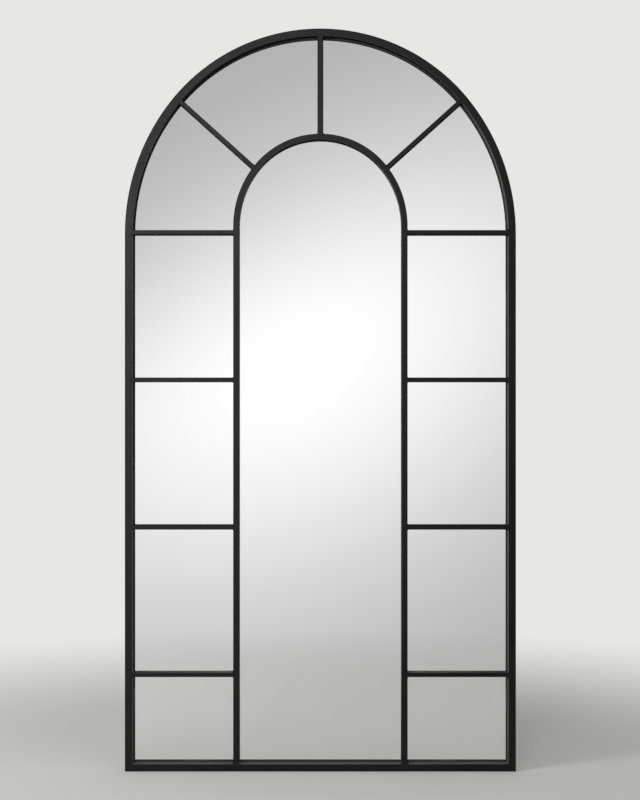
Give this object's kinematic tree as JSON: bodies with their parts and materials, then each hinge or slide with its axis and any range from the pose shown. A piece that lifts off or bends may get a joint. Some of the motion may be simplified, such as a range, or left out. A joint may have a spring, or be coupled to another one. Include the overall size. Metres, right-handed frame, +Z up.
{
  "type": "arched window mirror",
  "caption": "Tall wall mirror with an arched head: a black steel tube frame, a window grid of slimmer bars with a fan head in front of one mirror sheet, and a screwed back with hanging rings.",
  "frame": {"origin": "middle of the bounding box's base: on the underside of the bottom rail, half-way from the front faces to the wall", "axes": "+X to the viewer's right, +Y back to the wall, +Z up"},
  "size_m": [1, 0.031, 1.8999],
  "materials": {
    "frame": "satin black powder coat on steel tube",
    "grid": "satin black powder coat on steel tube",
    "tape": "black glazing foam",
    "mirror": "silvered float glass",
    "blocks": "black rubber",
    "foam": "dark foamed film",
    "board": "black-faced fibreboard",
    "screws": "zinc plated",
    "straps": "zinc plated sheet",
    "rings": "zinc plated wire",
    "bumpers": "dark rubber"
  },
  "bodies": {
    "mirror": {"backing_board": "board", "board_screws": "screws", "bottom_rail": "frame", "crown_spoke": "grid", "foam_sheet": "foam", "glazing_tape": "tape", "inner_arch": "grid", "left_bar_1": "grid", "left_bar_2": "grid", "left_bar_3": "grid", "left_bar_4": "grid", "left_hanger_screws": "screws", "left_hanger_strap": "straps", "left_mullion": "grid", "left_spoke": "grid", "left_stile": "frame", "mirror_glass": "mirror", "outer_arch": "frame", "right_bar_1": "grid", "right_bar_2": "grid", "right_bar_3": "grid", "right_bar_4": "grid", "right_hanger_screws": "screws", "right_hanger_strap": "straps", "right_mullion": "grid", "right_spoke": "grid", "right_stile": "frame", "setting_blocks": "blocks", "wall_bumpers": "bumpers"},
    "left_ring": {"left_hanger_ring": "rings"},
    "right_ring": {"right_hanger_ring": "rings"}
  },
  "joints": [
    {"name": "left_ring_swing", "type": "hinge", "parent": "mirror", "child": "left_ring", "pos_m": [-0.486, 0.0122, 1.22], "axis": [1, 0, 0], "range_deg": [0, 173.1]},
    {"name": "right_ring_swing", "type": "hinge", "parent": "mirror", "child": "right_ring", "pos_m": [0.486, 0.0122, 1.22], "axis": [1, 0, 0], "range_deg": [0, 173.1]}
  ]
}
